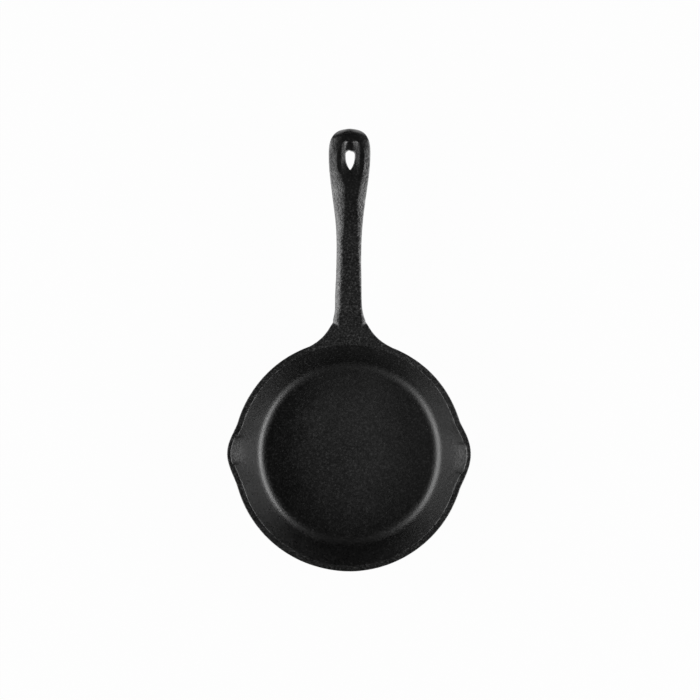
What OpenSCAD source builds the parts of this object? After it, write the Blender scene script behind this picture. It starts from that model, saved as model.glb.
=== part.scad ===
// Small cast iron skillet: a round pan with two pouring lips and a long handle with a hanging eye.
// The whole skillet is one casting, drawn here as its named regions, which meet face to face.
// The pan's axis is Z, the base lies on Z = 0, the handle runs along +Y and the lips face +X and -X.

/* [Pan] */
// Outside diameter of the rim, without the pouring lips
rim_d = 160; // [140:1:240]
// Height of the rim above the base
rim_h = 34; // [30:0.5:48]
// Lean of the side wall from upright, in degrees
flare = 22; // [12:0.5:28]
// Thickness of the cooking floor
floor_t = 4.5; // [3:0.1:7]
// Thickness of the side wall, square to its face
wall_t = 4; // [3:0.1:5.5]
// Radius of the hollow corner between the floor and the wall
corner_r = 8.5; // [4:0.5:12]
// Radius of the rounded heel between the base and the wall
heel_r = 10; // [4:0.5:14]

/* [Rim] */
// Width of the rim's flat top
rim_w = 3.95; // [3:0.05:6]
// Height of the rim band
rim_band_h = 5; // [3:0.5:9]
// Rounding of the rim's two edges
rim_edge_r = 0.8; // [0.3:0.1:1.4]

/* [Pouring lips] */
// How far a lip reaches out past the rim
lip_reach = 4.1; // [2:0.1:7]
// Angle from the middle of a lip to its end, in degrees
lip_half = 17; // [11:0.5:24]
// How far down the wall a lip starts
lip_depth = 16; // [11:0.5:18]
// How much thinner the rim is in the middle of a lip
lip_thin = 0.9; // [0:0.1:1.5]

/* [Handle] */
// Length of the handle from the rim to its tip
handle_len = 144.2; // [120:0.1:220]
// Height of the handle's tip above the rim
handle_rise = 13; // [0:0.5:30]
// Thickness of the handle
handle_t = 9.5; // [7:0.1:13]
// Width of the handle where its root begins
neck_w = 17.2; // [14:0.1:24]
// Width of the handle at its waist
waist_w = 16.8; // [14:0.1:22]
// Distance from the rim to the waist
waist_from_rim = 57.5; // [45:0.5:75]
// Largest width of the handle, at its head
head_w = 28; // [25:0.1:36]
// Distance from the tip to the widest place of the head
head_from_tip = 17; // [12:0.5:22]
// Width of the rounded edge along the waist
grip_edge = 3.2; // [2:0.1:5]
// Width of the rounded edge round the head
head_edge = 5.8; // [3:0.1:6.5]
// Width of the rounding on the underside
under_edge = 6; // [3:0.1:6.4]
// Depth from the top of the handle to its widest line
side_drop = 4.2; // [2.5:0.1:5.5]

/* [Handle root] */
// Radius of the root's two fillets in plan
root_r = 32; // [18:0.2:45]
// Depth of the root at the wall
root_h = 15; // [13:0.5:19]
// Depth from the top of the root to the edge of its webs at the rim
web_drop = 2; // [1:0.1:4]
// How far the root's top lies below the rim's top
root_step = 0.4; // [0.2:0.1:1]
// How far the root's fillets cross into the rim
root_sink = 0.3; // [0.3:0.1:1.5]

/* [Hanging eye] */
// Radius of the round end of the teardrop hole at its narrowest
hole_r = 3.6; // [3:0.1:4.5]
// Distance from the centre of the hole's round end to its point
hole_point = 10.4; // [7:0.1:13]
// Distance from the tip to the centre of the hole's round end
hole_from_tip = 18.6; // [16:0.1:22]
// How much the hole opens out at the two faces of the handle
hole_flare = 3.3; // [1:0.1:3.8]
// How far the opening at the faces lies towards the tip from the narrowest place
hole_lean = 2; // [0:0.1:3]
// Length of the straight stretch at the narrowest place
hole_land = 0.8; // [0.4:0.1:2]
// Length of the hanging eye from the tip
eye_len = 40; // [36:0.5:50]

/* [Hidden] */
$fn = 128;

iron = "#2b2a29";
// Flat floor that the side wall keeps inside its two corner arcs
floor_margin = 1;
// Overlap that lets a cutting solid pass through the face it cuts
past = 1;
// Thickness of the slices that a hull joins
slice_t = 0.1;
// Steps of the lofted surfaces
arc_steps = 6;
edge_steps = 3;
lip_steps = 20;
lip_rows = 7;
root_steps = 14;
grip_steps = 26;
eye_steps = 9;
tip_steps = 10;
// Shape of the head's end: a superellipse in plan, and a blunter one from the side
tip_power = 2.8;
tip_side_power = 4;
tip_last_angle = 88;
// Shape of the widening from the waist to the head
head_ease_power = 1.2;
// Largest share of the half width that a rounded edge takes near the tip
edge_share = 0.9;

rim_r = rim_d / 2;
band_z = rim_h - rim_band_h;
lip_z = rim_h - lip_depth;
wall_dir = [sin(flare), cos(flare)];

function mix(a, b, t) = a + (b - a) * t;
function clamp01(t) = max(0, min(1, t));
function ease(t) = (1 - cos(180 * t)) / 2;
function unit(v) = v / norm(v);

// A rounding of radius r at p, between the edges that leave p along a and b: how far along them it
// starts, its centre, and points on it
function corner_run(a, b, r) = r / tan(acos(a * b) / 2);
function corner_centre(p, a, b, r) = p + unit(a + b) * r / sin(acos(a * b) / 2);
function corner_arc(p, a, b, r) =
    let(c = corner_centre(p, a, b, r))
    let(from = p + a * corner_run(a, b, r) - c)
    let(to = p + b * corner_run(a, b, r) - c)
    [for (i = [0 : edge_steps]) c + r * unit(mix(from, to, i / edge_steps))];

// Radius of the rim's sharp outer corner, which its rounding brings back to the rim's own radius
rim_corner_r = rim_r - rim_edge_r - corner_centre([0, 0], [-1, 0], -wall_dir, rim_edge_r).x;

function outer_r(z) = rim_corner_r - (rim_h - z) * tan(flare);
function wall_inner_r(z) = outer_r(z) - wall_t / cos(flare);

// Places on the pan's section, as [radius, height]
heel_point = [outer_r(0), 0];
corner_point = [wall_inner_r(floor_t), floor_t];
band_outer = [outer_r(band_z), band_z];
band_inner = [wall_inner_r(band_z), band_z];
rim_outer = [rim_corner_r, rim_h];
rim_inner = [rim_r - rim_w, rim_h];
rim_inner_dir = unit(band_inner - rim_inner);

// The sharp corner that such a rounding takes off
module corner_piece(p, a, b, r) {
    run = corner_run(a, b, r);
    centre = corner_centre(p, a, b, r);
    beyond = p - unit(a + b) * past;
    difference() {
        polygon([beyond, p + a * run, centre, p + b * run]);
        translate(centre) circle(r);
    }
}

floor_r = min(corner_point.x - corner_run([-1, 0], wall_dir, corner_r),
              heel_point.x - corner_run([-1, 0], wall_dir, heel_r)) - floor_margin;

// Closes a ring of n points, numbered from first, with a strip of triangles between its two halves
function end_strip(n, first) = [for (i = [0 : n / 2 - 2])
    let(a = first + i, b = first + n - 1 - i)
    each [[a, a + 1, b], [a + 1, b - 1, b]]];

// Joins rings of equally many points into one closed solid
module loft(rings) {
    n = len(rings[0]);
    last = len(rings) - 1;
    sides = [for (j = [0 : last - 1]) for (i = [0 : n - 1])
        let(a = j * n + i, b = j * n + (i + 1) % n)
        each [[a, b, b + n], [a, b + n, a + n]]];
    near_end = [for (face = end_strip(n, 0)) [face[2], face[1], face[0]]];
    far_end = end_strip(n, last * n);
    polyhedron([for (ring = rings) each ring], concat(sides, near_end, far_end));
}

module lip_sectors() {
    reach = 2 * rim_r;
    for (side = [0, 180])
        rotate(side)
            translate([0, 0, lip_z])
                linear_extrude(lip_depth + past)
                    polygon([[0, 0], reach * [cos(lip_half), -sin(lip_half)],
                             reach * [cos(lip_half), sin(lip_half)]]);
}

// Flat round floor of the pan, from the base to the cooking surface
module cooking_floor() {
    color(iron) cylinder(r = floor_r, h = floor_t);
}

// Flared wall with its hollow inside corner and round heel, notched where the lips stand
module side_wall() {
    hollow_run = corner_run([-1, 0], wall_dir, corner_r);
    hollow_centre = corner_centre(corner_point, [-1, 0], wall_dir, corner_r);
    color(iron)
    difference() {
        rotate_extrude()
            difference() {
                polygon([[floor_r, 0], heel_point, band_outer, band_inner,
                         corner_point + wall_dir * hollow_run, hollow_centre,
                         corner_point - [hollow_run, 0], [floor_r, floor_t]]);
                translate(hollow_centre) circle(corner_r);
                corner_piece(heel_point, [-1, 0], wall_dir, heel_r);
            }
        lip_sectors();
    }
}

// Top band of the wall with its two rounded edges, in two arcs between the lips
module rim_band() {
    color(iron)
    difference() {
        rotate_extrude()
            difference() {
                polygon([band_inner, band_outer, rim_outer, rim_inner]);
                corner_piece(rim_outer, [-1, 0], -wall_dir, rim_edge_r);
                corner_piece(rim_inner, [1, 0], rim_inner_dir, rim_edge_r);
            }
        lip_sectors();
    }
}

// One lip's section before it is bent outwards, as [radius, height, 1 on the inside and 0 outside]
function inner_r(z) = z <= band_z
    ? wall_inner_r(z)
    : mix(band_inner.x, rim_inner.x, (z - band_z) / rim_band_h);
function lip_row_z(i, top) = mix(lip_z, top, i / lip_rows);
lip_outer_edge = corner_arc(rim_outer, -wall_dir, [-1, 0], rim_edge_r);
lip_inner_edge = corner_arc(rim_inner, [1, 0], rim_inner_dir, rim_edge_r);
lip_section = concat(
    [for (i = [0 : lip_rows - 1])
        let(z = lip_row_z(i, lip_outer_edge[0].y)) [outer_r(z), z, 0]],
    [for (p = lip_outer_edge) [p.x, p.y, 0]],
    [for (p = lip_inner_edge) [p.x, p.y, 1]],
    [for (i = [lip_rows - 1 : -1 : 0])
        let(z = lip_row_z(i, lip_inner_edge[edge_steps].y)) [inner_r(z), z, 1]]);
function lip_bend(angle, z) = pow(cos(90 * angle / lip_half), 2) * ease((z - lip_z) / lip_depth);
function lip_ring(angle) = [for (p = lip_section)
    let(r = p.x + (lip_reach + lip_thin * p.z) * lip_bend(angle, p.y))
    [r * cos(angle), r * sin(angle), p.y]];

module pour_lip() {
    color(iron) loft([for (j = [0 : lip_steps]) lip_ring(mix(-lip_half, lip_half, j / lip_steps))]);
}

// Lip on the left of a cook who holds the handle
module left_pour_lip() {
    rotate(180) pour_lip();
}

// Lip on the right
module right_pour_lip() {
    pour_lip();
}

// Plan of the handle: fillets at the root, a waist, then the head with its round end
tip_y = rim_r + handle_len;
head_y = tip_y - head_from_tip;
waist_y = rim_r + waist_from_rim;
eye_y = tip_y - eye_len;
fillet_x = neck_w / 2 + root_r;
fillet_run = rim_r + root_r - root_sink;
neck_y = sqrt(pow(fillet_run, 2) - pow(fillet_x, 2));
fillet_turn = asin(neck_y / fillet_run);
root_low_r = outer_r(rim_h - root_step - root_h);
web_w = fillet_x - root_r * cos(fillet_turn);
root_end_y = sqrt(pow(root_low_r, 2) - pow(web_w, 2)) - past;

function head_share(y) = clamp01((y - waist_y) / (head_y - waist_y));
function tip_share(y) = clamp01((y - head_y) / head_from_tip);
function rounded_off(t, power) = pow(1 - pow(t, power), 1 / power);
function half_w(y) = y < waist_y
    ? mix(neck_w, waist_w, ease((y - neck_y) / (waist_y - neck_y))) / 2
    : mix(waist_w, head_w, ease(pow(head_share(y), head_ease_power)))
        * rounded_off(tip_share(y), tip_power) / 2;

// Side view of the handle: it leaves the rim level, rises and levels out at the tip
function root_share(y) = clamp01((neck_y - y) / (neck_y - root_low_r));
function top_z(y) = rim_h - root_step + (handle_rise + root_step) * ease(clamp01((y - rim_r) / handle_len));
function depth(y) = mix(handle_t, root_h, 1 - sqrt(1 - pow(root_share(y), 2)));
function drop(y) = mix(side_drop, web_drop, root_share(y));

// Section of the handle at y with half width w: flat top and underside, elliptic rounded edges
function handle_ring(y, w) =
    let(blunt = rounded_off(tip_share(y), tip_side_power))
    let(widest_z = top_z(y) - drop(y))
    let(rise = drop(y) * blunt, fall = (depth(y) - drop(y)) * blunt)
    let(web = max(0, y < neck_y ? w - neck_w / 2 : 0))
    let(top_edge = min(mix(grip_edge, head_edge, ease(head_share(y))) + web, edge_share * w))
    let(low_edge = min(under_edge + web, edge_share * w))
    [for (quarter = [0 : 3])
        let(left = quarter == 1 || quarter == 2, under = quarter > 1, odd = quarter % 2)
        for (i = [0 : arc_steps - odd])
            let(angle = 90 * (odd == 1 ? 1 - i / arc_steps : i / arc_steps))
            let(edge = under ? low_edge : top_edge)
            let(x = w - edge + edge * cos(angle))
            let(z = sin(angle) * (under ? -fall : rise))
            [left ? -x : x, y, widest_z + z]];

// Outside of the whole pan, which the root of the handle is cut to
module pan_outside() {
    rotate_extrude()
        polygon([[0, 0], heel_point, rim_outer, [rim_corner_r, rim_h + handle_t], [0, rim_h + handle_t]]);
}

// Flared root that carries the handle on the rim and the wall
module handle_root() {
    fillet_rings = [for (j = [root_steps : -1 : 0])
        let(turn = fillet_turn * j / root_steps)
        handle_ring(neck_y - root_r * sin(turn), fillet_x - root_r * cos(turn))];
    color(iron)
    difference() {
        loft(concat([handle_ring(root_end_y, web_w)], fillet_rings));
        pan_outside();
    }
}

// Slim middle of the handle
module handle_grip() {
    stations = [for (j = [0 : grip_steps]) mix(neck_y, eye_y, j / grip_steps)];
    color(iron) loft([for (y = stations) handle_ring(y, half_w(y))]);
}

// Teardrop outline, grown by a given width, with its point towards the pan
module teardrop(grow) {
    round_r = hole_r + grow;
    point = hole_point + grow;
    touch = acos(round_r / point);
    circle(round_r);
    polygon([[0, -point], round_r * [sin(touch), -cos(touch)], round_r * [-sin(touch), -cos(touch)]]);
}

// One half of the hole, opening out from the straight stretch at Z = 0 to the face at the given height
module hole_funnel(face_z) {
    start_z = hole_land / 2;
    hull()
        for (z = [0, face_z + past]) {
            share = (z - start_z) / (face_z - start_z);
            translate([0, hole_lean * share, z])
                linear_extrude(slice_t) teardrop(hole_flare * share, $fn = 32);
        }
}

// Broad head of the handle, with the teardrop hole that opens out towards both faces
module hanging_eye() {
    stations = concat(
        [for (j = [0 : eye_steps]) mix(eye_y, head_y, j / eye_steps)],
        [for (j = [1 : tip_steps]) head_y + head_from_tip * sin(tip_last_angle * j / tip_steps)]);
    hole_y = tip_y - hole_from_tip;
    above = drop(hole_y);
    below = handle_t - above;
    color(iron)
    difference() {
        loft([for (y = stations) handle_ring(y, half_w(y))]);
        translate([0, hole_y, top_z(hole_y) - above]) {
            translate([0, 0, -below - past]) linear_extrude(handle_t + 2 * past) teardrop(0);
            hole_funnel(above);
            mirror([0, 0, 1]) hole_funnel(below);
        }
    }
}

cooking_floor();
side_wall();
rim_band();
left_pour_lip();
right_pour_lip();
handle_root();
handle_grip();
hanging_eye();
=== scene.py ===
# Small cast iron skillet, seen from straight above. The whole skillet is one sand casting.
# The pan's axis is Z, its base lies on Z = 0, the handle runs along +Y and the lips face +X and -X.

from math import atan2, cos, exp, hypot, pi, radians, sin, sqrt, tan

import bmesh
import bpy
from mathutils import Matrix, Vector


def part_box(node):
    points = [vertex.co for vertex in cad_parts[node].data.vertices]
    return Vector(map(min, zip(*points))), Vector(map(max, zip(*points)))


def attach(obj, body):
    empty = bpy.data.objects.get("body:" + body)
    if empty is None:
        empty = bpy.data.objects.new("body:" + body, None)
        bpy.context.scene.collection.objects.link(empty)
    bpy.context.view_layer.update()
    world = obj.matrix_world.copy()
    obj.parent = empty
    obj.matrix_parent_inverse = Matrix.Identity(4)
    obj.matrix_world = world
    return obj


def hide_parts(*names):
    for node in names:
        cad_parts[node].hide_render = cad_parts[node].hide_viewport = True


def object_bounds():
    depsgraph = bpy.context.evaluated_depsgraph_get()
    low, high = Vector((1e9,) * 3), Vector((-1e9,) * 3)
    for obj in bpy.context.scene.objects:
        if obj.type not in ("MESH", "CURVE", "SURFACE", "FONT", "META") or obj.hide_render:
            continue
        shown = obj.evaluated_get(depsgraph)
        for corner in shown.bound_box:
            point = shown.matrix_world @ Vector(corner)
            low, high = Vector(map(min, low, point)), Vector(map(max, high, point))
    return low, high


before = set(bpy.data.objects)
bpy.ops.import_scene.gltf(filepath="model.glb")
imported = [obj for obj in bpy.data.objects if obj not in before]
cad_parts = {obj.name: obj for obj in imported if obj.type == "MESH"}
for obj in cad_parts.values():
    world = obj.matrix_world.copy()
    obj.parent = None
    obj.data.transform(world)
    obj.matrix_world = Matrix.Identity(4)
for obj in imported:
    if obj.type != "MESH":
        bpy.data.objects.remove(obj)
cad_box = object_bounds()


# Cooking floor
# Flat round plate in the middle of the pan, poured in one with the wall around it.
# Its sand-cast skin was left as it came from the mould, under a black layer of baked oil.

mm = 0.001
floor_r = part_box("cooking_floor")[1].x
floor_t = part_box("cooking_floor")[1].z
floor_sides = 180
floor_ring_w = 2.5 * mm


def srgb(code):
    """Linear colour of an sRGB hex code."""
    shares = [int(code[i:i + 2], 16) / 255 for i in (1, 3, 5)]
    return [s / 12.92 if s <= 0.04045 else ((s + 0.055) / 1.055) ** 2.4 for s in shares] + [1]


def add_node(tree, kind, settings=None, links=None):
    """Adds a node, sets its properties and sockets, and links its sockets to other nodes' outputs."""
    node = tree.nodes.new(kind)
    for name, value in (settings or {}).items():
        if isinstance(name, str) and hasattr(node, name):
            setattr(node, name, value)
        else:
            node.inputs[name].default_value = value
    for name, output in (links or {}).items():
        tree.links.new(output, node.inputs[name])
    return node


# Seasoned cast iron: grey iron from a sand mould, under black oxide and oil baked on in thin coats.
# It gives the eye a near black satin skin with soft broad highlights, a fine sandy grain and cloudy
# patches where the oil lies thicker. The wall inside is rubbed smoother than the rest.
iron = bpy.data.materials.new("seasoned cast iron")
iron.use_nodes = True
iron_tree = iron.node_tree
iron_skin = iron_tree.nodes["Principled BSDF"]
place = add_node(iron_tree, "ShaderNodeTexCoord").outputs["Object"]

# Sand grit is about 0.3 mm, too fine for the picture, so it is drawn four times as coarse.
# Patches of thicker oil are about a finger wide.
grit_w = 1.3 * mm
grit_depth = 0.2 * mm
patch_w = 14 * mm
grit = add_node(iron_tree, "ShaderNodeTexNoise", {"Scale": 1 / grit_w, "Detail": 1, "Roughness": 0.5},
                {"Vector": place})
patches = add_node(iron_tree, "ShaderNodeTexNoise", {"Scale": 1 / patch_w, "Detail": 4, "Roughness": 0.6},
                   {"Vector": place})

# How much a place is rubbed: 1 on the wall inside, a third on the floor, 0 on the sand-cast skin of
# everything else
flare = radians(22)
rub_slope = tan(flare)
rub_base_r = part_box("rim_band")[1].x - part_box("rim_band")[1].z * rub_slope
skin_from = 1.5 * mm
skin_to = 3 * mm
corner_low_z = 4.6 * mm
corner_high_z = 6.8 * mm
under_rim_z = 33 * mm
on_rim_z = 33.7 * mm
spot = add_node(iron_tree, "ShaderNodeSeparateXYZ", {}, {0: place})
flat_spot = add_node(iron_tree, "ShaderNodeCombineXYZ", {}, {0: spot.outputs[0], 1: spot.outputs[1]})
from_axis = add_node(iron_tree, "ShaderNodeVectorMath", {"operation": "LENGTH"},
                     {0: flat_spot.outputs[0]})
outside_r = add_node(iron_tree, "ShaderNodeMath",
                     {"operation": "MULTIPLY_ADD", 1: rub_slope, 2: rub_base_r}, {0: spot.outputs[2]})
under_skin = add_node(iron_tree, "ShaderNodeMath", {"operation": "SUBTRACT"},
                      {0: outside_r.outputs[0], 1: from_axis.outputs["Value"]})
in_wall = add_node(iron_tree, "ShaderNodeMapRange", {"From Min": skin_from, "From Max": skin_to},
                   {"Value": under_skin.outputs[0]})
over_floor = add_node(iron_tree, "ShaderNodeMapRange",
                      {"From Min": corner_low_z, "From Max": corner_high_z}, {"Value": spot.outputs[2]})
under_rim = add_node(iron_tree, "ShaderNodeMapRange", {"From Min": on_rim_z, "From Max": under_rim_z},
                     {"Value": spot.outputs[2]})
inside = add_node(iron_tree, "ShaderNodeMath", {"operation": "MULTIPLY"},
                  {0: in_wall.outputs[0], 1: under_rim.outputs[0]})
on_wall = add_node(iron_tree, "ShaderNodeMath", {"operation": "MULTIPLY"},
                   {0: inside.outputs[0], 1: over_floor.outputs[0]})
rub_share = add_node(iron_tree, "ShaderNodeMapRange", {"To Min": 0.3, "To Max": 0.94},
                     {"Value": over_floor.outputs[0]})
rubbed = add_node(iron_tree, "ShaderNodeMath", {"operation": "MULTIPLY"},
                  {0: inside.outputs[0], 1: rub_share.outputs[0]})

# Hands have polished the handle's head
handled_from_y = 150 * mm
handled_to_y = 195 * mm
handled = add_node(iron_tree, "ShaderNodeMapRange",
                   {"From Min": handled_from_y, "From Max": handled_to_y, "To Min": 0, "To Max": 0.65},
                   {"Value": spot.outputs[1]})
smooth = add_node(iron_tree, "ShaderNodeMath", {"operation": "MAXIMUM"},
                  {0: rubbed.outputs[0], 1: handled.outputs[0]})
sandy = add_node(iron_tree, "ShaderNodeMath", {"operation": "SUBTRACT", 0: 1}, {1: smooth.outputs[0]})
on_floor = add_node(iron_tree, "ShaderNodeMath", {"operation": "SUBTRACT"},
                    {0: inside.outputs[0], 1: on_wall.outputs[0]})

thick_oil = srgb("#0b0b0b")
thin_oil = srgb("#151515")
# Painted light: the lighter grey laid on the floor where more light falls, not a colour of the oil
painted_light_oil = srgb("#262626")
bare_grit = srgb("#404040")
oil = add_node(iron_tree, "ShaderNodeMix", {"data_type": "RGBA", 6: thick_oil, 7: thin_oil},
               {0: patches.outputs["Fac"]})

# Painted light: the floor is painted a lighter grey towards the right and the handle, less so in the
# middle, as a pool of light falling there
painted_light_place = (50 * mm, 25 * mm, 0)
painted_light_reach = 95 * mm
painted_light_heart = 35 * mm
from_painted_light = add_node(iron_tree, "ShaderNodeVectorMath", {"operation": "DISTANCE", 1: painted_light_place},
                    {0: flat_spot.outputs[0]})
painted_light_side = add_node(iron_tree, "ShaderNodeMapRange", {"From Min": painted_light_reach, "From Max": painted_light_heart},
                    {"Value": from_painted_light.outputs["Value"]})
painted_light_ring = add_node(iron_tree, "ShaderNodeMapRange",
                    {"From Min": 5 * mm, "From Max": 32 * mm, "To Min": 0.3},
                    {"Value": from_axis.outputs["Value"]})
painted_light_floor = add_node(iron_tree, "ShaderNodeMath", {"operation": "MULTIPLY"},
                     {0: painted_light_side.outputs[0], 1: painted_light_ring.outputs[0]})
painted_light = add_node(iron_tree, "ShaderNodeMath", {"operation": "MULTIPLY"},
               {0: painted_light_floor.outputs[0], 1: on_floor.outputs[0]})
# The oil's own patchy colour with the painted light laid over it on the floor
oil_and_painted_light = add_node(iron_tree, "ShaderNodeMix", {"data_type": "RGBA", 7: painted_light_oil},
                {0: painted_light.outputs[0], 6: oil.outputs[2]})
peaks = add_node(iron_tree, "ShaderNodeMapRange", {"From Min": 0.6, "From Max": 0.78},
                 {"Value": grit.outputs["Fac"]})
bare = add_node(iron_tree, "ShaderNodeMath", {"operation": "MULTIPLY"},
                {0: peaks.outputs[0], 1: sandy.outputs[0]})
skin = add_node(iron_tree, "ShaderNodeMix", {"data_type": "RGBA", 7: bare_grit},
                {0: bare.outputs[0], 6: oil_and_painted_light.outputs[2]})

# Thin oil is duller than thick oil, bare grit duller than the hollows between it, and the wall is dull
dull_patches = add_node(iron_tree, "ShaderNodeMapRange",
                        {"From Min": 0.3, "From Max": 0.7, "To Min": 0.38, "To Max": 0.43},
                        {"Value": patches.outputs["Fac"]})
dull_grit = add_node(iron_tree, "ShaderNodeMapRange",
                     {"From Min": 0.3, "From Max": 0.7, "To Min": -0.115, "To Max": 0.115},
                     {"Value": grit.outputs["Fac"]})
dull_sand = add_node(iron_tree, "ShaderNodeMath", {"operation": "MULTIPLY_ADD"},
                     {0: dull_grit.outputs[0], 1: sandy.outputs[0], 2: dull_patches.outputs[0]})
dull_wall = add_node(iron_tree, "ShaderNodeMath", {"operation": "MULTIPLY_ADD", 1: 0.045},
                     {0: on_wall.outputs[0], 2: dull_sand.outputs[0]})

# The oil ran towards the left and the front before it was baked, so it lies thicker and glossier there.
# The floor was also scoured duller along the handle's line than towards the lips, and has a scuff.
thin_place = (60 * mm, 60 * mm, 0)
scuff_place = (-25 * mm, 24 * mm, 0)
scuff_reach = 13 * mm
scuff_heart = 2 * mm
from_thin = add_node(iron_tree, "ShaderNodeVectorMath", {"operation": "DISTANCE", 1: thin_place},
                     {0: flat_spot.outputs[0]})
run_oil = add_node(iron_tree, "ShaderNodeMapRange",
                   {"From Min": 20 * mm, "From Max": 150 * mm, "To Min": 0.03, "To Max": -0.04},
                   {"Value": from_thin.outputs["Value"]})
aside = add_node(iron_tree, "ShaderNodeMath", {"operation": "ABSOLUTE"}, {0: spot.outputs[0]})
scoured = add_node(iron_tree, "ShaderNodeMapRange",
                   {"From Min": 15 * mm, "From Max": 50 * mm, "To Min": 0.04, "To Max": -0.005},
                   {"Value": aside.outputs[0]})
from_scuff = add_node(iron_tree, "ShaderNodeVectorMath", {"operation": "DISTANCE", 1: scuff_place},
                      {0: flat_spot.outputs[0]})
scuff = add_node(iron_tree, "ShaderNodeMapRange",
                 {"From Min": scuff_reach, "From Max": scuff_heart, "To Min": 0, "To Max": 0.05},
                 {"Value": from_scuff.outputs["Value"]})
dull_floor = add_node(iron_tree, "ShaderNodeMath", {"operation": "ADD"},
                      {0: scoured.outputs[0], 1: scuff.outputs[0]})
dull_cast = add_node(iron_tree, "ShaderNodeMath", {"operation": "ADD"},
                     {0: run_oil.outputs[0], 1: dull_wall.outputs[0]})
dull_run = add_node(iron_tree, "ShaderNodeMath", {"operation": "MULTIPLY_ADD", 1: -0.09},
                    {0: handled.outputs[0], 2: dull_cast.outputs[0]})
dull = add_node(iron_tree, "ShaderNodeMath", {"operation": "MULTIPLY_ADD"},
                {0: dull_floor.outputs[0], 1: on_floor.outputs[0], 2: dull_run.outputs[0]})
grain = add_node(iron_tree, "ShaderNodeBump", {"Distance": grit_depth},
                 {"Strength": sandy.outputs[0], "Height": grit.outputs["Fac"]})
iron_tree.links.new(skin.outputs[2], iron_skin.inputs["Base Color"])
iron_tree.links.new(dull.outputs[0], iron_skin.inputs["Roughness"])
iron_tree.links.new(grain.outputs["Normal"], iron_skin.inputs["Normal"])

# The oxide and oil refract between baked oil's 1.5 and black iron oxide's 2.4
oxide_ior = 2.0
iron_skin.inputs["IOR"].default_value = oxide_ior

# A hand-rammed sand mould is never quite true: the whole casting wavers by a fraction of a millimetre
waver_w = 45 * mm
waver_depth = 0.3 * mm
waver_room = 0.1 * mm
waver = bpy.data.textures.new("mould waver", type="CLOUDS")
waver.cloud_type = "COLOR"
waver.noise_scale = waver_w
waver.noise_depth = 1

# Where the sand skin was left rough, it is lumpy too
lump_w = 2.4 * mm
lump_depth = 0.05 * mm
lumps = bpy.data.textures.new("sand lumps", type="CLOUDS")
lumps.noise_scale = lump_w
lumps.noise_depth = 1
sharp_edge = radians(40)


def modify(kind, **settings):
    """Adds a modifier to the active piece and applies it."""
    piece = bpy.context.object
    bpy.ops.object.modifier_add(type=kind)
    modifier = piece.modifiers[-1]
    for name, value in settings.items():
        setattr(modifier, name, value)
    bpy.ops.object.modifier_apply(modifier=modifier.name)


def select_verts(test):
    """Selects the vertices of the piece in edit mode whose place passes the test, and nothing else."""
    bpy.ops.mesh.select_mode(type="VERT")
    bpy.ops.mesh.select_all(action="DESELECT")
    mesh = bmesh.from_edit_mesh(bpy.context.object.data)
    for vert in mesh.verts:
        vert.select = test(vert.co)
    mesh.select_flush(True)
    bmesh.update_edit_mesh(bpy.context.object.data)


def make_active(piece):
    """Makes one piece the only selected one."""
    bpy.ops.object.select_all(action="DESELECT")
    piece.select_set(True)
    bpy.context.view_layer.objects.active = piece


def finish_casting(piece, node, lumpy=None):
    """Gives a region of the casting its waver and its skin, with lumps where the test says so, and sets
    it in place of its node."""
    make_active(piece)
    piece.name = node + "_casting"
    if lumpy:
        rough = piece.vertex_groups.new(name="rough")
        rough.add([vert.index for vert in piece.data.vertices if lumpy(vert.co)], 1, "REPLACE")
        modify("DISPLACE", texture=lumps, texture_coords="LOCAL", strength=2 * lump_depth,
               vertex_group="rough")
    modify("DISPLACE", texture=waver, texture_coords="LOCAL", direction="RGB_TO_XYZ",
           strength=2 * waver_depth)
    bpy.ops.object.mode_set(mode="EDIT")
    select_verts(lambda co: co.z < 0)
    bpy.ops.transform.resize(value=(1, 1, 0), center_override=(0, 0, 0))
    bpy.ops.object.mode_set(mode="OBJECT")
    bpy.ops.object.shade_smooth_by_angle(angle=sharp_edge)
    piece.vertex_groups.clear()
    piece.data.materials.clear()
    piece.data.materials.append(iron)
    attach(piece, "root")
    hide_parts(node)


bpy.ops.object.select_all(action="DESELECT")
bpy.ops.mesh.primitive_circle_add(vertices=floor_sides, radius=floor_r, fill_type="NGON",
                                  location=(0, 0, floor_t))
cooking_floor = bpy.context.object
bpy.ops.object.transform_apply(location=True)
bpy.ops.object.mode_set(mode="EDIT")
for ring in range(int(floor_r / floor_ring_w) - 1):
    bpy.ops.mesh.inset(thickness=floor_ring_w)
bpy.ops.mesh.poke()
bpy.ops.object.mode_set(mode="OBJECT")
modify("SOLIDIFY", thickness=floor_t, offset=-1)
finish_casting(cooking_floor, "cooking_floor")


# Side wall
# Flared wall of the pan with a hollow corner inside and a round heel below, part of the same casting.
# It is notched where the two pouring lips stand.

rim_r = -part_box("rim_band")[0].y - waver_room
rim_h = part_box("rim_band")[1].z
band_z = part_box("rim_band")[0].z
lip_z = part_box("right_pour_lip")[0].z
wall_t = 4 * mm
foot_gain = 0.4 * mm
corner_r = 8.5 * mm
corner_steps = 12
heel_r = 10 * mm
heel_steps = 10
rim_edge_r = 0.6 * mm
lip_half = radians(17)
sector_steps = 8
turn_steps = 360
half_step = pi / turn_steps
longest_edge = 1.2 * mm
past = 1 * mm
close = 0.01 * mm

# How far from a corner between a level face and the wall a rounding of radius 1 starts, where the
# corner is wide and where it is sharp
wide_run = tan((pi / 2 - flare) / 2)
sharp_run = 1 / wide_run
rim_corner_r = rim_r + rim_edge_r * (sharp_run - 1)


def outer_r(z):
    """Radius of the wall's outer face at a height."""
    return rim_corner_r - (rim_h - z) * tan(flare)


def inner_r(z):
    """Radius of the wall's inner face at a height."""
    return outer_r(z) - wall_t / cos(flare) - foot_gain * (rim_h - z) / rim_h


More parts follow.
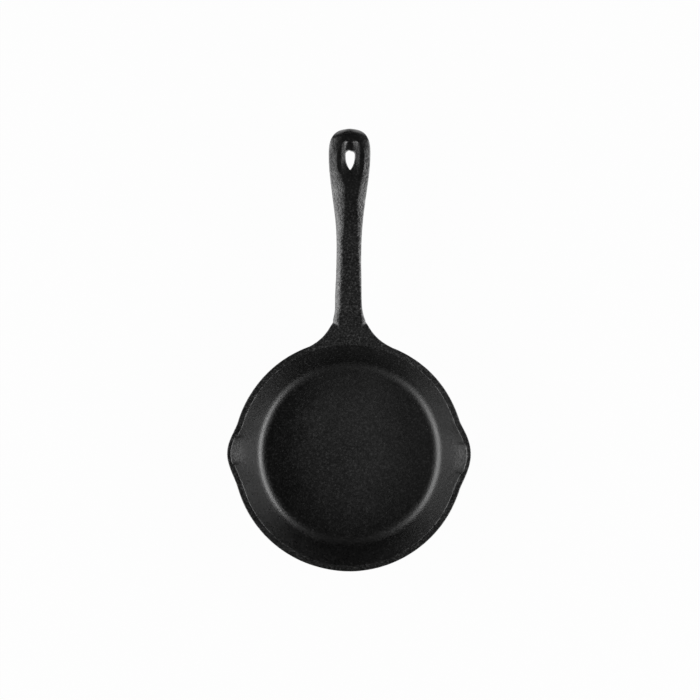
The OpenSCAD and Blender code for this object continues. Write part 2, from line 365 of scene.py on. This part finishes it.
def draw_outline(corners, roundings, turn):
    """Draws a closed outline through corners of [radius, height], in the half plane at an angle round
    the pan's axis, and rounds some corners: each has its place in the list, its run and its steps."""
    points = [Vector((r * cos(turn), r * sin(turn), z)) for r, z in corners]
    bpy.ops.object.select_all(action="DESELECT")
    bpy.ops.mesh.primitive_plane_add(size=mm)
    bpy.ops.object.mode_set(mode="EDIT")
    bpy.ops.mesh.merge(type="CENTER")
    bpy.ops.transform.translate(value=points[0])
    for here, there in zip(points, points[1:]):
        bpy.ops.mesh.extrude_vertices_move(TRANSFORM_OT_translate={"value": there - here})
    select_verts(lambda co: min((co - points[0]).length, (co - points[-1]).length) < close)
    bpy.ops.mesh.edge_face_add()
    for corner, run, steps in roundings:
        select_verts(lambda co: (co - points[corner]).length < close)
        bpy.ops.mesh.bevel(affect="VERTICES", offset=run, segments=steps)
    bpy.ops.mesh.select_mode(type="EDGE")
    mesh = bmesh.from_edit_mesh(bpy.context.object.data)
    long_cuts = {int(edge.calc_length() / longest_edge) for edge in mesh.edges} - {0}
    for cuts in sorted(long_cuts):
        bpy.ops.mesh.select_all(action="DESELECT")
        mesh = bmesh.from_edit_mesh(bpy.context.object.data)
        for edge in mesh.edges:
            edge.select = int(edge.calc_length() / longest_edge) == cuts
        bmesh.update_edit_mesh(bpy.context.object.data)
        bpy.ops.mesh.subdivide(number_cuts=cuts)
    bpy.ops.mesh.select_mode(type="VERT")
    bpy.ops.mesh.select_all(action="SELECT")
    return bpy.context.object


def close_up():
    """Merges doubles, fills open ends, turns all faces outwards and leaves edit mode."""
    bpy.ops.mesh.select_all(action="SELECT")
    bpy.ops.mesh.remove_doubles(threshold=close)
    bpy.ops.mesh.fill_holes(sides=0)
    bpy.ops.mesh.select_all(action="SELECT")
    bpy.ops.mesh.normals_make_consistent(inside=False)
    bpy.ops.object.mode_set(mode="OBJECT")


def sand_skin(co):
    """Whether a place on the pan isn't on the smooth inside of its wall, nor where two regions meet."""
    off_lip = abs(abs(atan2(co.y, abs(co.x))) - lip_half) * rim_r
    off_seam = min(abs(co.z - band_z), abs(co.z - lip_z), off_lip)
    outside = hypot(co.x, co.y) > outer_r(co.z) - wall_t / 2 or co.z > rim_h - close
    return outside and off_seam > close


def cut(piece, cutter):
    """Cuts a closed solid out of a piece."""
    make_active(piece)
    modify("BOOLEAN", operation="DIFFERENCE", solver="EXACT", object=cutter)


side_wall = draw_outline(
    [(floor_r, 0), (outer_r(0), 0), (outer_r(band_z), band_z), (inner_r(band_z), band_z),
     (inner_r(floor_t), floor_t), (floor_r, floor_t)],
    [(4, corner_r * wide_run, corner_steps), (1, heel_r * wide_run, heel_steps)], half_step)
bpy.ops.mesh.spin(steps=turn_steps, angle=2 * pi, center=(0, 0, 0), axis=(0, 0, -1), use_auto_merge=True)
close_up()

# The two lips' sectors, as wedges from the pan's axis outwards
lip_sectors = []
for middle in (0, pi):
    sector = draw_outline([(0, lip_z), (2 * rim_r, lip_z), (2 * rim_r, rim_h + past), (0, rim_h + past)],
                          [], middle - lip_half)
    bpy.ops.mesh.spin(steps=sector_steps, angle=2 * lip_half, center=(0, 0, 0), axis=(0, 0, -1))
    close_up()
    cut(side_wall, sector)
    lip_sectors.append(sector)
for sector in lip_sectors:
    bpy.data.objects.remove(sector)

# Towards each lip the wall leans out a little more, from its foot upwards
lip_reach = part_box("right_pour_lip")[1].x - rim_r - waver_room
lip_foot_z = 9 * mm
lip_shift = 0.07
lip_curl = 1.2
scoop_depth = 1.3 * mm
scoop_z = 20 * mm
scoop_squareness = 10


def bow(share):
    """Rises smoothly from 0 to 1 as the share goes from 0 to 1."""
    return (1 - cos(pi * min(max(share, 0), 1))) / 2


def lean_out(piece, side, sharpness, scoop_turn, scoop_half):
    """Bows the wall on one side out into a lip, which is scooped out deeper inside near the rim."""
    bend = piece.vertex_groups.new(name="bend")
    for vert in piece.data.vertices:
        x, y, z = vert.co
        angle = atan2(y, x * side)
        share = angle / lip_half
        share -= lip_shift * (1 - share ** 2)
        rise = max(z - lip_foot_z, 0) / (rim_h - lip_foot_z)
        out = lip_reach * max(1 - share ** 2, 0) ** sharpness * rise ** lip_curl
        if hypot(x, y) < outer_r(z) - wall_t / cos(flare) / 2:
            scoop = 1 - min(abs(angle - scoop_turn) / scoop_half, 1) ** scoop_squareness
            out += scoop_depth * scoop * bow((z - scoop_z) / (rim_h - scoop_z))
        bend.add([vert.index], out / (lip_reach + scoop_depth), "REPLACE")
    make_active(piece)
    modify("DISPLACE", direction="X", strength=side * (lip_reach + scoop_depth), mid_level=0,
           vertex_group="bend")
    piece.vertex_groups.clear()


# Each lip's side, how sharply it bows out, and where its scoop lies and how far that reaches. The two
# differ, as the two ends of a hand-made pattern do.
lip_sides = (("left_pour_lip", -1, 2.2, radians(2.5), radians(7.6)),
             ("right_pour_lip", 1, 1.5, radians(-1.6), radians(8.4)))
for node, *lip_form in lip_sides:
    lean_out(side_wall, *lip_form)
finish_casting(side_wall, "side_wall", sand_skin)


# Rim band
# Top band of the wall, a flat edge with two slightly rounded arrises, in two arcs between the lips.
# It was ground flat after casting and then seasoned with the rest.

rim_w = 3.95 * mm
rim_inner_r = rim_r - rim_w
arc_angle = pi - 2 * lip_half
arc_steps = 292
lip_steps = 68
edge_steps = 5
rim_corners = [(inner_r(band_z), band_z), (outer_r(band_z), band_z), (rim_corner_r, rim_h),
               (rim_inner_r, rim_h)]
inner_edge_r = 0.5 * mm
rim_roundings = [(2, rim_edge_r * sharp_run, edge_steps), (3, inner_edge_r * wide_run, edge_steps)]

# The grinder knocked the inner arris off here and there
knock_w = 6 * mm
knock_depth = 0.5 * mm
knocks = bpy.data.textures.new("knocked arris", type="CLOUDS")
knocks.noise_scale = knock_w
knocks.noise_depth = 1
knocks.use_color_ramp = True
knocks.color_ramp.elements[0].position = 0.4
knocks.color_ramp.elements[0].color = (0, 0, 0, 1)
knocks.color_ramp.elements[1].position = 0.75
knocks.color_ramp.elements[1].color = (1, 1, 1, 1)


def knock_arris(piece):
    """Takes the rim's inner arris down here and there."""
    arris = piece.vertex_groups.new(name="arris")
    for vert in piece.data.vertices:
        if vert.co.z > rim_h - inner_edge_r and hypot(vert.co.x, vert.co.y) < rim_inner_r + inner_edge_r:
            arris.add([vert.index], 1, "REPLACE")
    make_active(piece)
    modify("DISPLACE", texture=knocks, texture_coords="LOCAL", direction="Z", strength=-knock_depth,
           mid_level=0, vertex_group="arris")
    piece.vertex_groups.clear()


rim_band = draw_outline(rim_corners, rim_roundings, lip_half)
bpy.ops.mesh.spin(steps=arc_steps, angle=arc_angle, center=(0, 0, 0), axis=(0, 0, -1))
close_up()
bpy.ops.object.mode_set(mode="EDIT")
bpy.ops.mesh.select_all(action="SELECT")
bpy.ops.mesh.duplicate()
bpy.ops.transform.rotate(value=pi, orient_axis="Z", center_override=(0, 0, 0))
bpy.ops.object.mode_set(mode="OBJECT")
knock_arris(rim_band)
finish_casting(rim_band, "rim_band", sand_skin)


# Pouring lips
# Two places where the rim and the upper wall bow outwards, so that fat can be poured off on either side.
# Each is scooped out a little deeper inside, which leaves the rim thinner at its middle.

lip_corners = [(inner_r(lip_z), lip_z), (outer_r(lip_z), lip_z)] + rim_corners[2:] + rim_corners[:1]
for node, *lip_form in lip_sides:
    lip = draw_outline(lip_corners, rim_roundings, (1 - lip_form[0]) * pi / 2 - lip_half)
    bpy.ops.mesh.spin(steps=lip_steps, angle=2 * lip_half, center=(0, 0, 0), axis=(0, 0, -1))
    close_up()
    knock_arris(lip)
    lean_out(lip, *lip_form)
    finish_casting(lip, node, sand_skin)


# Handle: root, grip and hanging eye
# Long flat bar with rounded edges that runs from the rim up to a broad head with a teardrop hole.
# It is cast in one with the pan, whose wall carries it on two level webs and a deep root.

neck_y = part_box("handle_grip")[0].y
eye_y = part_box("hanging_eye")[0].y
tip_room = 0.3 * mm
tip_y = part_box("hanging_eye")[1].y - tip_room
head_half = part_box("hanging_eye")[1].x
handle_top = cad_box[1].z - waver_room
waist_y = rim_r + 57.5 * mm
head_y = tip_y - 17 * mm
head_squareness = 2.55
head_start = 1.2
neck_half = 9.05 * mm
waist_half = 8.25 * mm
root_r = 32 * mm
root_step = 0.03 * mm
bar_t = 9.5 * mm
bar_crown = 0.25 * mm
bar_edge_most = 0.8
bar_edge_lead = 1.2
bar_under_edge = 0.6
softening = 0.3 * mm
tip_round = 9 * mm
tip_fall = 4.2 * mm
tip_curl = 2.5
tip_thinning = 0.85
tip_steps = 14
bar_points = 64
station_gap = 2.5 * mm
bar_start_y = 68 * mm
bar_flare_y = 93 * mm
fillet_x = neck_half + root_r
fillet_end_y = neck_y - root_r * sqrt(1 - (fillet_x / hypot(fillet_x, neck_y)) ** 2)

# Places along the handle, each with how far the bar strays to the right, and how wide, how deep and how
# round its sloping edges are: first the left one's width and depth in millimetres and its roundness, then
# the right one's. A roundness of 2 is an arc, 1 a flat facet. The pattern was carved by hand and isn't
# symmetric.
bar_marks = [(90, 0.4, 5.0, 1.9, 1.9, 3.4, 1.4, 1.6),
             (96, -0.1, 5.0, 1.8, 1.8, 2.2, 0.8, 1.6),
             (107, -0.35, 5.3, 2.1, 1.8, 1.5, 0.35, 1.6),
             (126, -0.1, 5.3, 2.0, 1.7, 2.2, 0.7, 1.5),
             (147, 0, 5.0, 1.8, 1.6, 3.0, 0.95, 1.3),
             (160, 0.1, 6.6, 2.4, 1.45, 3.9, 1.35, 1.2),
             (174, 0.2, 9.0, 3.0, 1.25, 6.0, 2.4, 1.1),
             (181, 0.3, 10.8, 3.6, 1.25, 6.0, 2.35, 1.1),
             (191, 0.4, 8.4, 2.85, 1.15, 5.0, 1.95, 1.05),
             (196, 0.45, 6.0, 2.15, 1.05, 4.5, 1.85, 1.0),
             (207, 0.5, 6.3, 2.2, 1.05, 4.4, 1.8, 1.0),
             (212, 0.5, 8.8, 2.4, 1.6, 6.4, 1.9, 1.5),
             (218, 0.5, 11, 2.6, 1.8, 9, 2.3, 1.8),
             (224, 0.5, 11, 2.6, 1.8, 9, 2.3, 1.8)]


def half_width(y):
    """Half the handle's width in plan: fillets at the root, a waist and a head with a blunt end."""
    if y < neck_y:
        return fillet_x - sqrt(root_r ** 2 - (neck_y - max(y, fillet_end_y)) ** 2)
    if y < waist_y:
        return neck_half + (waist_half - neck_half) * bow((y - neck_y) / (waist_y - neck_y))
    share = min((y - waist_y) / (head_y - waist_y), 1)
    tip_share = max(y - head_y, 0) / (tip_y - head_y)
    widest = waist_half + (head_half - waist_half) * bow(share ** head_start)
    return widest * (1 - tip_share ** head_squareness) ** (1 / head_squareness)


def top_z(y):
    """Height of the handle's top: level at the rim, rising, and level again at the tip."""
    return rim_h - root_step + (handle_top - rim_h) * bow((y - rim_r) / (tip_y - rim_r))


def loft(rings):
    """Makes a closed tube through rings of points, each drawn out from the one before."""
    bpy.ops.object.select_all(action="DESELECT")
    bpy.ops.mesh.primitive_circle_add(vertices=len(rings[0]), radius=mm)
    tube = bpy.context.object
    bpy.ops.object.mode_set(mode="EDIT")
    bpy.ops.mesh.select_all(action="SELECT")
    for level, ring in enumerate(rings):
        if level > 0:
            bpy.ops.mesh.extrude_region_move()
        mesh = bmesh.from_edit_mesh(tube.data)
        mesh.verts.ensure_lookup_table()
        for vert, point in zip(mesh.verts[-len(ring):], ring):
            vert.co = point
        bmesh.update_edit_mesh(tube.data)
    close_up()
    return tube


def carving(y):
    """How the bar strays and how its edges slope at a place along the handle."""
    after = min(max(sum(y >= mark[0] * mm for mark in bar_marks), 1), len(bar_marks) - 1)
    low, high = bar_marks[after - 1:after + 1]
    share = bow((y / mm - low[0]) / (high[0] - low[0]))
    return [a + (b - a) * share for a, b in zip(low[1:], high[1:])]


def bar_ring(y):
    """Section of the bar: a slightly crowned top with sloping edges over a flat underside with round
    ones."""
    stray, *edges = carving(y)
    width = half_width(max(y, bar_flare_y)) + softening
    past_round = max(y - tip_y + tip_round, 0) / tip_round
    ring = []
    for i in range(bar_points):
        turn = 2 * pi * (i + 0.5) / bar_points
        side = 1 if cos(turn) > 0 else -1
        edge, depth, roundness = edges[3:] if side > 0 else edges[:3]
        share = abs(cos(turn)) ** bar_edge_lead
        if sin(turn) > 0:
            edge = min(edge * mm, bar_edge_most * width)
            fall = depth * mm * share ** roundness + bar_crown * (1 - edge / width * (1 - share)) ** 2
        else:
            edge = bar_under_edge * width
            fall = depth * mm - (bar_t - depth * mm) * sin(turn) * (1 - tip_thinning * past_round ** 2)
        x = width - edge * (1 - share)
        ring.append((stray * mm + side * x, y, top_z(y) - fall - tip_fall * past_round ** tip_curl))
    return ring


# Stations along the bar, which lie closer and closer towards the tip
last_turn = radians(88)
shank_steps = round((head_y - bar_start_y) / station_gap)
bar_ys = [bar_start_y + (head_y - bar_start_y) * i / shank_steps for i in range(shank_steps + 1)]
bar_ys += [head_y + (tip_y - head_y) * sin(last_turn * i / tip_steps) for i in range(1, tip_steps + 1)]
bar = loft([bar_ring(y) for y in bar_ys])

# Teardrop hole with its point towards the pan, ragged with flash, in a shallow oval dish on both faces.
# The upper face's dish is deepest towards the tip.
hole_x = 0.9 * mm
hole_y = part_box("hanging_eye")[1].y - 18.6 * mm
hole_half = 3.15 * mm
hole_up = 3.0 * mm
hole_down = 10.4 * mm
hole_squareness = 0.7
hole_point = 2.4
dish_x = 1.25 * mm
dish_half = 7.0 * mm
dish_up = 10 * mm
dish_down = 17 * mm
dish_depth = 1.5 * mm
dish_drop = 0.45 * mm
dish_squareness = 0.55
dish_lead = 0.93
hole_points = 96
flash = 0.5 * mm
flash_x = -0.25
flash_w = 0.2
flash_lean = 0.6


def hole_ring(depth, share):
    """Outline of the hole at a depth, with its share of the way from the hole out to the dish's edge."""
    ragged = flash * (1 - min(share, 1))
    ring = []
    for i in range(hole_points):
        turn = 2 * pi * (i + 0.5) / hole_points
        side = 1 if cos(turn) > 0 else -1
        x_share = abs(cos(turn))
        y_share = abs(sin(turn))
        oval_x = side * x_share ** dish_squareness
        if sin(turn) > 0:
            drop_x = side * x_share ** hole_squareness
            drop_y = hole_up * y_share ** hole_squareness
            drop_y += ragged * (exp(-((drop_x - flash_x) / flash_w) ** 2) - flash_lean * drop_x * y_share)
            oval_y = dish_up * y_share ** dish_squareness
            y = drop_y + (oval_y - drop_y) * share ** (1 - dish_lead * y_share)
        else:
            drop_x = side * (1 - y_share ** hole_point)
            drop_y = -hole_down * y_share
            oval_y = -dish_down * y_share ** dish_squareness
            y = drop_y + (oval_y - drop_y) * share
        drop_x = hole_x + hole_half * drop_x
        x = drop_x + (dish_x + dish_half * oval_x - drop_x) * share
        drop = dish_drop * max(sin(turn), 0) ** 2 * (1 - min(share, 1))
        ring.append((x, hole_y + y, top_z(hole_y + y) - depth - drop))
    return ring


dish_shares = [0, 0.1, 0.25, 0.5, 0.75, 1, 1 + past / dish_depth]
hole = loft([hole_ring(bar_t - dish_depth * (1 - share), share) for share in reversed(dish_shares)]
            + [hole_ring(dish_depth * (1 - share), share) for share in dish_shares])
cut(bar, hole)
bpy.data.objects.remove(hole)

# The root: two flat webs level with the rim and a deep rounded underside that blends into the wall
web_end_y = 88.5 * mm
web_slope = 5 * mm
web_fall = 4.2 * mm
web_share = 0.3
web_squareness = 12
web_spread = 0.4 * mm
web_tuck = 0.5 * mm
root_depth = 15 * mm
root_low_r = outer_r(rim_h - root_depth)
root_points = 64
root_steps = 18


def root_ring(y):
    """Section of the root: a flat top, thin edges and a half round underside."""
    share = min(max((neck_y - y) / (neck_y - root_low_r), 0), 1)
    depth = bar_t + rim_h - root_step - top_z(y) + (root_depth - bar_t) * (1 - sqrt(1 - share ** 2))
    ended = bow((y - web_end_y) / web_slope)
    fall = web_fall * ended
    width = half_width(y) + web_spread - (web_spread + web_tuck) * ended
    ring = []
    for i in range(root_points):
        turn = 2 * pi * (i + 0.5) / root_points
        x = cos(turn)
        web = web_share * (1 - abs(x) ** web_squareness) ** (1 / web_squareness)
        under = max(web, sqrt(1 - x * x)) * (depth - fall)
        if sin(turn) > 0:
            under = 0
        ring.append((carving(y)[0] * mm + x * width, y, rim_h - root_step - fall - under))
    return ring


root_ys = [bar_start_y + (neck_y - bar_start_y) * i / root_steps for i in range(root_steps + 1)]
root = loft([root_ring(y) for y in root_ys])

# A slice of the wall from just under its outer skin is melted in too, so that the root runs into the
# wall in a hollow
foot_half = radians(40)
foot_t = 3 * mm
foot_sink = 0.15 * mm
foot_low_z = 8 * mm
foot_high_z = rim_h - 1 * mm
foot_low_r = outer_r(foot_low_z)
foot_high_r = outer_r(foot_high_z)
foot_steps = 80
foot = draw_outline([(foot_low_r - foot_t, foot_low_z), (foot_low_r - foot_sink, foot_low_z),
                     (foot_high_r - foot_sink, foot_high_z), (foot_high_r - foot_t, foot_high_z)],
                    [], pi / 2 - foot_half)
bpy.ops.mesh.spin(steps=foot_steps, angle=2 * foot_half, center=(0, 0, 0), axis=(0, 0, -1))
close_up()

# Bar, root and slice are melted into one casting, whose edges come out slightly soft, and cut to the
# wall
casting_grid = 0.4 * mm
soft_rounds = 3
hollow_rounds = 25
hollow_w = 5 * mm
hollow_top_z = rim_h - 3 * mm
hollow_fade = 2 * mm
make_active(bar)
root.select_set(True)
foot.select_set(True)
bpy.ops.object.join()
handle = bpy.context.object
modify("REMESH", mode="VOXEL", voxel_size=casting_grid)
modify("SMOOTH", factor=0.5, iterations=soft_rounds)
hollow = handle.vertex_groups.new(name="hollow")
for vert in handle.data.vertices:
    near = 2 - 2 * (hypot(vert.co.x, vert.co.y) - outer_r(vert.co.z)) / hollow_w
    weight = min(near, (hollow_top_z - vert.co.z) / hollow_fade, 1)
    if weight > 0:
        hollow.add([vert.index], weight, "REPLACE")
modify("SMOOTH", factor=0.5, iterations=hollow_rounds, vertex_group="hollow")
handle.vertex_groups.clear()
sunk = 2 * mm
cone_h = 2 * rim_h
bpy.ops.object.select_all(action="DESELECT")
bpy.ops.mesh.primitive_cone_add(vertices=turn_steps, radius1=outer_r(0) - sunk,
                                radius2=outer_r(cone_h) - sunk, depth=cone_h,
                                location=(0, 0, cone_h / 2))
pan_core = bpy.context.object
cut(handle, pan_core)
bpy.data.objects.remove(pan_core)

# The casting is parted into its three regions
regions = (("handle_root", None, neck_y), ("handle_grip", neck_y, eye_y), ("hanging_eye", eye_y, None))
for node, low, high in regions:
    make_active(handle)
    bpy.ops.object.duplicate()
    region = bpy.context.object
    bpy.ops.object.mode_set(mode="EDIT")
    if low:
        bpy.ops.mesh.select_all(action="SELECT")
        bpy.ops.mesh.bisect(plane_co=(0, low, 0), plane_no=(0, 1, 0), use_fill=True, clear_inner=True)
    if high:
        bpy.ops.mesh.select_all(action="SELECT")
        bpy.ops.mesh.bisect(plane_co=(0, high, 0), plane_no=(0, 1, 0), use_fill=True, clear_outer=True)
    bpy.ops.object.mode_set(mode="OBJECT")
    finish_casting(region, node, lambda co: min(abs(co.y - neck_y), abs(co.y - eye_y)) > close)
bpy.data.objects.remove(handle)


# Studio
# Plain white table that keeps the skillet's soft shadow, two wide soft boxes low on the left and right,
# and a dark room.

table_size = 40
table_white = 0.97
bpy.ops.object.select_all(action="DESELECT")
bpy.ops.mesh.primitive_plane_add(size=table_size)
table = bpy.context.object
table.name = "table"

# White laminate: a matt white sheet, which the camera and mirrors see lit up to white
laminate = bpy.data.materials.new("white laminate")
laminate.use_nodes = True
laminate_tree = laminate.node_tree
laminate_tree.nodes.remove(laminate_tree.nodes["Principled BSDF"])
sheet = add_node(laminate_tree, "ShaderNodeBsdfDiffuse", {"Color": srgb("#e8e8e8")})
glow = add_node(laminate_tree, "ShaderNodeEmission", {"Color": srgb("#ffffff"), "Strength": 1})
rays = add_node(laminate_tree, "ShaderNodeLightPath")
seen = add_node(laminate_tree, "ShaderNodeMath", {"operation": "MAXIMUM"},
                {0: rays.outputs["Is Camera Ray"], 1: rays.outputs["Is Glossy Ray"]})
seen_through = add_node(laminate_tree, "ShaderNodeMath", {"operation": "MAXIMUM"},
                        {0: seen.outputs[0], 1: rays.outputs["Is Transmission Ray"]})
lit = add_node(laminate_tree, "ShaderNodeMath", {"operation": "MULTIPLY", 1: table_white},
               {0: seen_through.outputs[0]})
white = add_node(laminate_tree, "ShaderNodeMixShader", {},
                 {0: lit.outputs[0], 1: sheet.outputs[0], 2: glow.outputs[0]})
laminate_tree.links.new(white.outputs[0], laminate_tree.nodes["Material Output"].inputs["Surface"])
table.data.materials.append(laminate)

aim = Vector((0, 0.03, 0.03))
for name, azimuth, lift, width, height, radiance in (
        ("left soft box", radians(183), radians(22), 1.5, 0.7, 3.25),
        ("right soft box", radians(-3), radians(20), 1.5, 0.6, 3.85)):
    box_place = aim + Vector((cos(azimuth) * cos(lift), sin(azimuth) * cos(lift), sin(lift)))
    bpy.ops.object.light_add(type="AREA", location=box_place)
    box = bpy.context.object
    box.name = name
    box.rotation_euler = (aim - box_place).to_track_quat("-Z", "Y").to_euler()
    box.data.shape = "RECTANGLE"
    box.data.size = width
    box.data.size_y = height
    box.data.energy = radiance * pi * width * height

room = bpy.data.worlds.new("dim room")
bpy.context.scene.world = room
room.use_nodes = True
room.node_tree.nodes["Background"].inputs["Color"].default_value = srgb("#1f1f1f")
bpy.context.scene.view_settings.view_transform = "Standard"


# Camera
# Looks straight down on the skillet with the handle upwards. The picture is 700 pixels wide.

picture_px = 700
pixel = 0.688 * mm
rim_centre_px = (349.0, 455.35)
camera_up = 1.4
sensor = 36
camera_right = 0.022
bpy.ops.object.camera_add(location=((picture_px / 2 - rim_centre_px[0]) * pixel + camera_right,
                                    (rim_centre_px[1] - picture_px / 2) * pixel, rim_h + camera_up),
                          rotation=(0, 0, 0))
camera = bpy.context.object
camera.data.sensor_width = sensor
camera.data.lens = sensor * camera_up / (picture_px * pixel)
camera.data.shift_x = -camera_right / (picture_px * pixel)
bpy.context.scene.camera = camera
